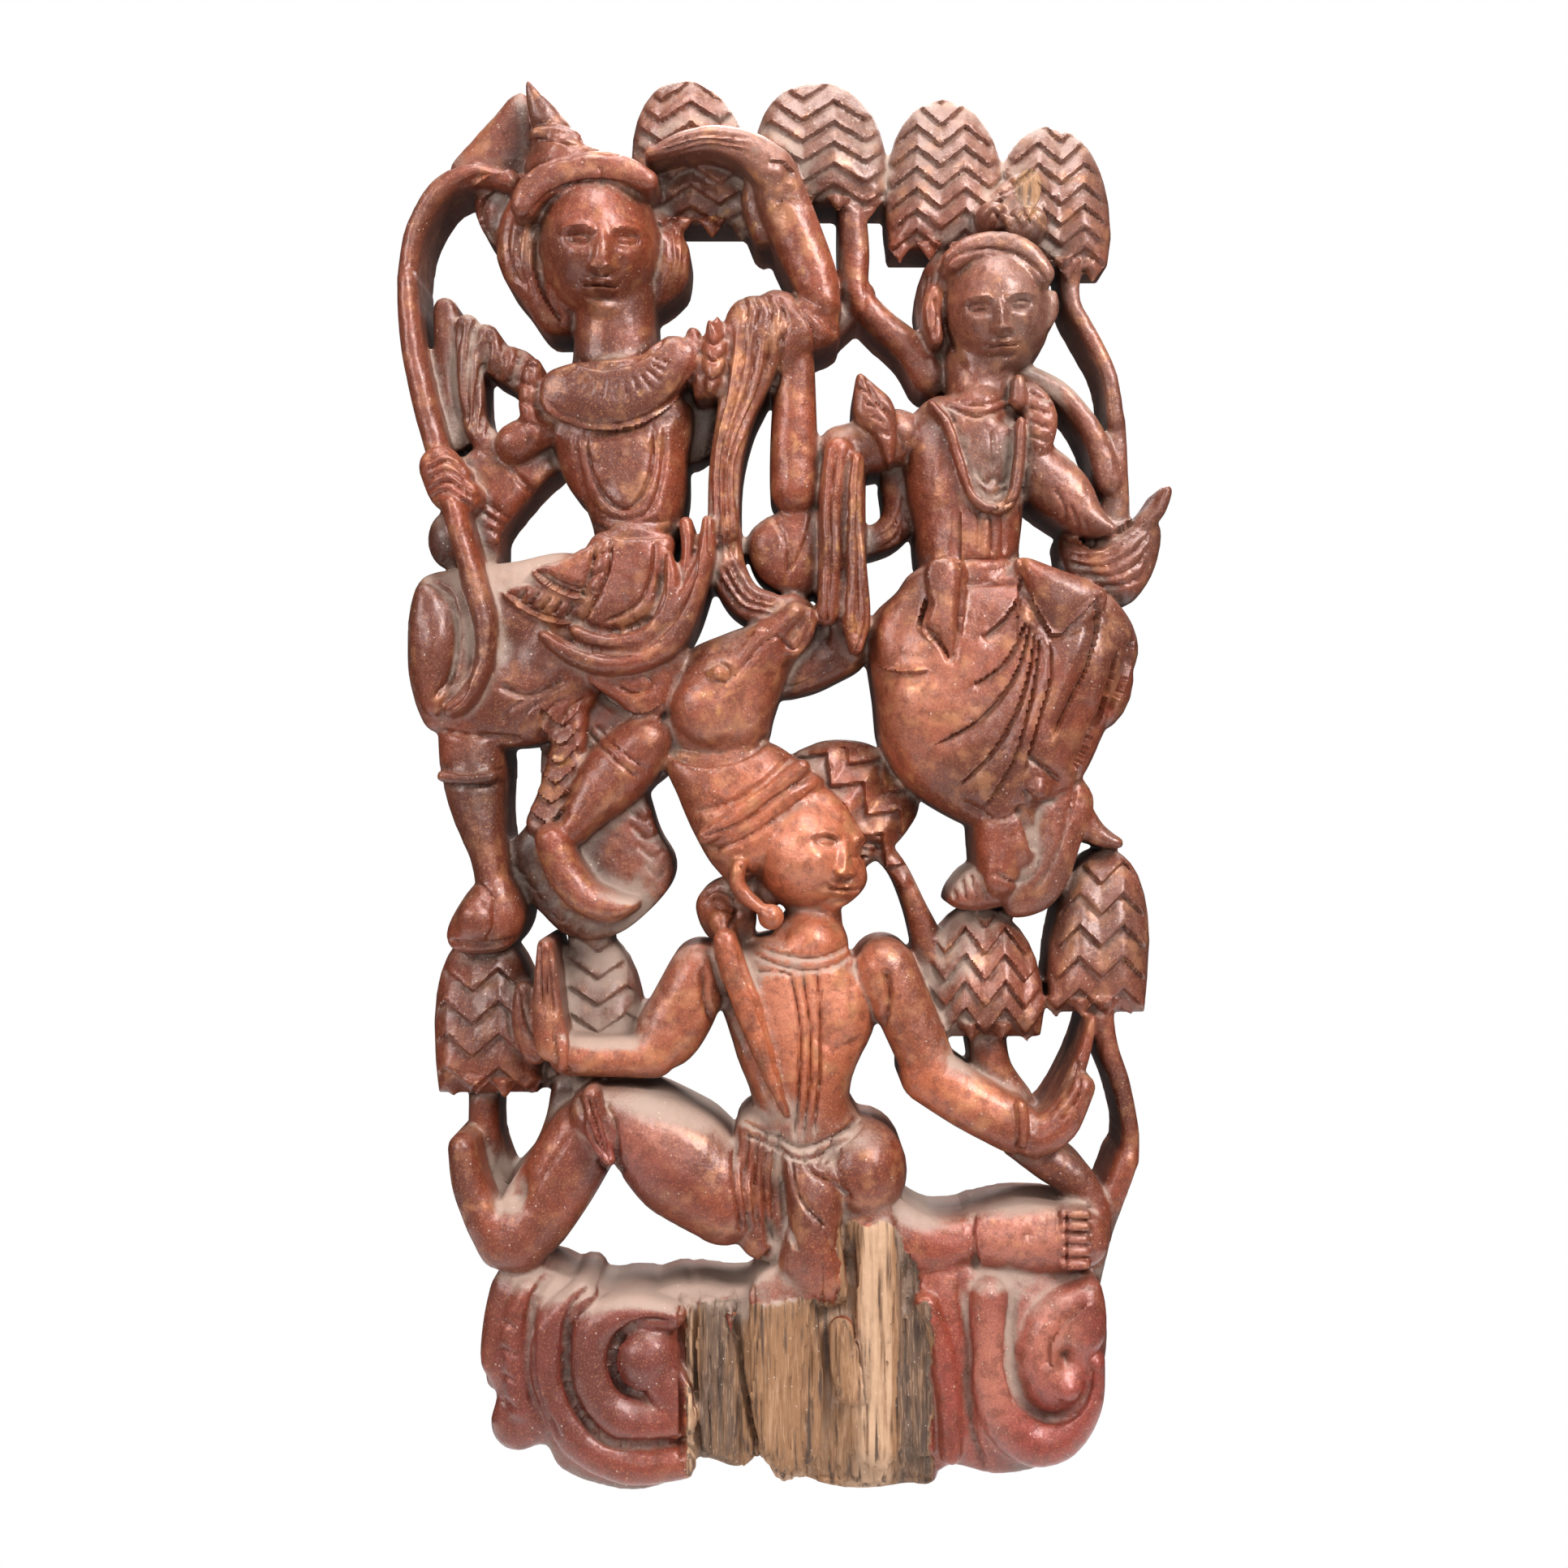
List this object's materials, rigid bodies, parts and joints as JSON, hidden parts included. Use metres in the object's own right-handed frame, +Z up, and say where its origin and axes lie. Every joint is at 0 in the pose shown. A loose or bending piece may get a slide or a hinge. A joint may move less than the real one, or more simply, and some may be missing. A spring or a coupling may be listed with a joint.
{
  "type": "carved wall panel",
  "caption": "Tall openwork relief carved from one plank: an archer, a lady and a masked dancer among trees, over a scrolled foot.",
  "frame": {"origin": "the hanging point on the flat back, near the panel's centre line and behind the archer's raised arm", "axes": "+Z up along the panel's height, the carved face looks along -Y, +Y goes into the wall"},
  "size_m": [0.3189, 0.0719, 0.5792],
  "materials": {
    "red_lacquered_wood": "worn semi-gloss red-brown lacquer"
  },
  "bodies": {
    "root": {"carved_panel": "red_lacquered_wood"}
  },
  "joints": []
}
